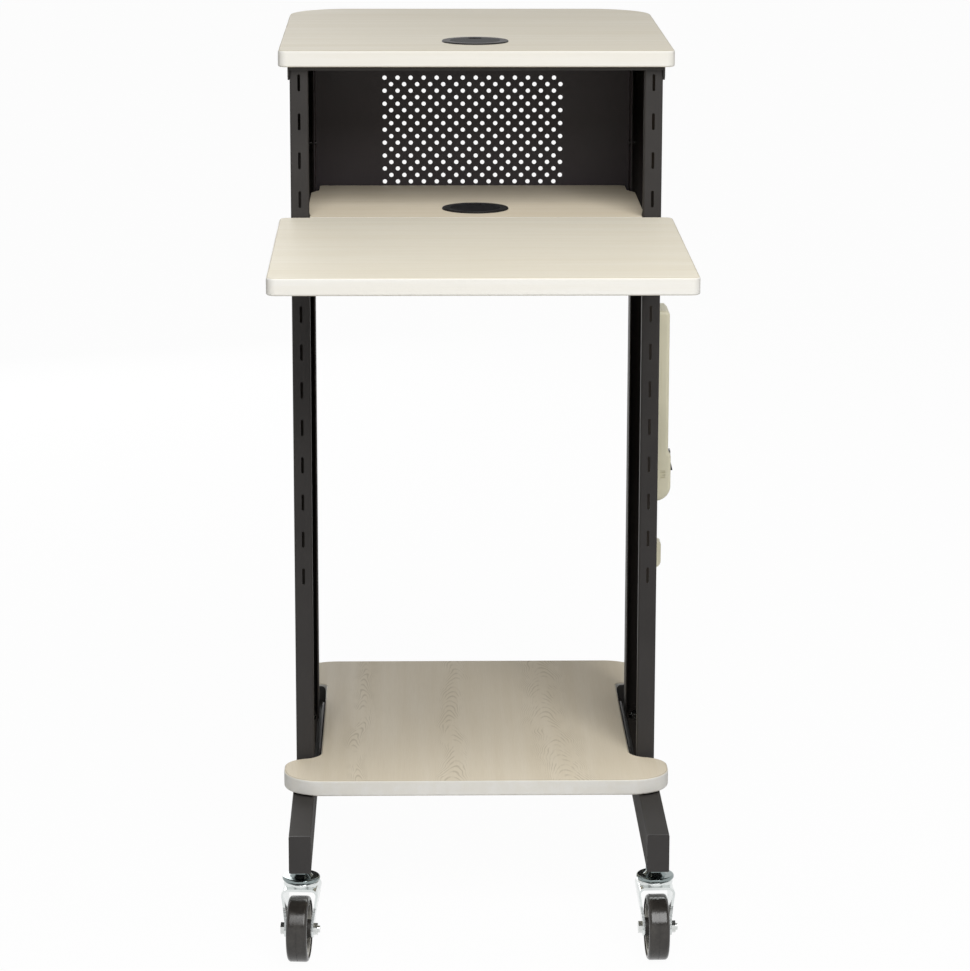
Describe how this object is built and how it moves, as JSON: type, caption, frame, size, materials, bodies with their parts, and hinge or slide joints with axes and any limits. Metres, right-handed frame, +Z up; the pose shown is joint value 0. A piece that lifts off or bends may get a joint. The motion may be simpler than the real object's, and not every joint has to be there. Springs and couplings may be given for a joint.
{
  "type": "audio visual cart",
  "caption": "Rolling equipment cart: slotted side columns on base tubes, top, long middle and bottom boards, perforated back panel, power strip and swivel casters.",
  "frame": {"origin": "on the floor, under the middle of the overall box", "axes": "+Z up, +X to the side with the power strip, -Y towards the long board's free end"},
  "size_m": [0.4771, 0.9162, 1.029],
  "materials": {
    "ivory_laminate": "satin laminate",
    "black_powder_coat": "fine satin powder coat",
    "beige_plastic": "satin",
    "black_plastic": "satin",
    "black_gloss_plastic": "gloss",
    "bright_zinc": "bright plated",
    "zinc_fasteners": "zinc plated",
    "dark_tyre": "smooth worn",
    "grey_wheel_core": "satin",
    "screw_steel": "dark plated"
  },
  "bodies": {
    "frame": {"base_tube_left": "black_powder_coat", "base_tube_right": "black_powder_coat", "column_left": "black_powder_coat", "column_right": "black_powder_coat", "bottom_bracket_left": "black_powder_coat", "bottom_bracket_right": "black_powder_coat", "tube_end_plugs": "black_plastic", "caster_nuts": "zinc_fasteners", "column_bolts": "zinc_fasteners", "column_nuts": "zinc_fasteners", "top_pan": "black_powder_coat", "back_panel": "black_powder_coat", "small_screws": "screw_steel", "top_board": "ivory_laminate", "bottom_board": "ivory_laminate", "board_screws": "screw_steel", "grommet_liner_top": "black_plastic", "strip_back": "beige_plastic", "strip_cover": "beige_plastic", "strip_sockets": "beige_plastic", "cord_gland": "black_plastic", "cord_cleat": "beige_plastic", "caster_mount_front_left": "bright_zinc", "caster_mount_front_right": "bright_zinc", "caster_mount_rear_left": "bright_zinc", "caster_mount_rear_right": "bright_zinc"},
    "long_shelf": {"long_board_front": "ivory_laminate", "long_board_rear": "ivory_laminate", "shelf_arm_left": "black_powder_coat", "shelf_arm_right": "black_powder_coat", "shelf_brace": "black_powder_coat", "shelf_screws": "screw_steel", "grommet_liner_long_board": "black_plastic"},
    "top_grommet_cap": {"grommet_cap_top": "black_plastic"},
    "shelf_grommet_cap": {"grommet_cap_long_board": "black_plastic"},
    "power_rocker": {"power_rocker": "black_gloss_plastic"},
    "fork_front_left": {"caster_fork_front_left": "bright_zinc", "wheel_axle_front_left": "zinc_fasteners"},
    "wheel_front_left": {"wheel_core_front_left": "grey_wheel_core", "tyre_front_left": "dark_tyre"},
    "fork_front_right": {"caster_fork_front_right": "bright_zinc", "wheel_axle_front_right": "zinc_fasteners"},
    "wheel_front_right": {"wheel_core_front_right": "grey_wheel_core", "tyre_front_right": "dark_tyre"},
    "fork_rear_left": {"caster_fork_rear_left": "bright_zinc", "wheel_axle_rear_left": "zinc_fasteners", "pedal_pin_rear_left": "zinc_fasteners"},
    "wheel_rear_left": {"wheel_core_rear_left": "grey_wheel_core", "tyre_rear_left": "dark_tyre"},
    "pedal_rear_left": {"brake_pedal_rear_left": "bright_zinc"},
    "fork_rear_right": {"caster_fork_rear_right": "bright_zinc", "wheel_axle_rear_right": "zinc_fasteners", "pedal_pin_rear_right": "zinc_fasteners"},
    "wheel_rear_right": {"wheel_core_rear_right": "grey_wheel_core", "tyre_rear_right": "dark_tyre"},
    "pedal_rear_right": {"brake_pedal_rear_right": "bright_zinc"}
  },
  "joints": [
    {"name": "shelf_height", "type": "slide", "parent": "frame", "child": "long_shelf", "axis": [0, 0, 1], "range_m": [-0.1356, 0.1356]},
    {"name": "top_cap_turn", "type": "hinge", "parent": "frame", "child": "top_grommet_cap", "pos_m": [-0.00956, 0.0521, 1.02745], "axis": [0, 0, 1], "continuous": true},
    {"name": "shelf_cap_turn", "type": "hinge", "parent": "long_shelf", "child": "shelf_grommet_cap", "pos_m": [-0.00956, 0.0281, 0.8329], "axis": [0, 0, 1], "continuous": true},
    {"name": "power_switch", "type": "hinge", "parent": "frame", "child": "power_rocker", "pos_m": [0.23024, 0.1731, 0.4955], "axis": [0, 1, 0], "range_deg": [0, 14]},
    {"name": "swivel_front_left", "type": "hinge", "parent": "frame", "child": "fork_front_left", "pos_m": [-0.21446, -0.2289, 0.08915], "axis": [0, 0, 1], "continuous": true},
    {"name": "roll_front_left", "type": "hinge", "parent": "fork_front_left", "child": "wheel_front_left", "pos_m": [-0.21647, -0.25382, 0.0381], "axis": [0.9968, -0.0802, 0], "continuous": true},
    {"name": "swivel_front_right", "type": "hinge", "parent": "frame", "child": "fork_front_right", "pos_m": [0.19534, -0.2289, 0.08915], "axis": [0, 0, 1], "continuous": true},
    {"name": "roll_front_right", "type": "hinge", "parent": "fork_front_right", "child": "wheel_front_right", "pos_m": [0.19617, -0.25389, 0.0381], "axis": [0.9995, 0.0332, 0], "continuous": true},
    {"name": "swivel_rear_left", "type": "hinge", "parent": "frame", "child": "fork_rear_left", "pos_m": [-0.21446, 0.3441, 0.08915], "axis": [0, 0, 1], "continuous": true},
    {"name": "roll_rear_left", "type": "hinge", "parent": "fork_rear_left", "child": "wheel_rear_left", "pos_m": [-0.21446, 0.3691, 0.0381], "axis": [-1, 0, 0], "continuous": true},
    {"name": "brake_rear_left", "type": "hinge", "parent": "fork_rear_left", "child": "pedal_rear_left", "pos_m": [-0.21446, 0.4091, 0.0587], "axis": [-1, 0, 0], "range_deg": [0, 20]},
    {"name": "swivel_rear_right", "type": "hinge", "parent": "frame", "child": "fork_rear_right", "pos_m": [0.19534, 0.3441, 0.08915], "axis": [0, 0, 1], "continuous": true},
    {"name": "roll_rear_right", "type": "hinge", "parent": "fork_rear_right", "child": "wheel_rear_right", "pos_m": [0.19534, 0.3691, 0.0381], "axis": [-1, 0, 0], "continuous": true},
    {"name": "brake_rear_right", "type": "hinge", "parent": "fork_rear_right", "child": "pedal_rear_right", "pos_m": [0.19534, 0.4091, 0.0587], "axis": [-1, 0, 0], "range_deg": [0, 20]}
  ]
}
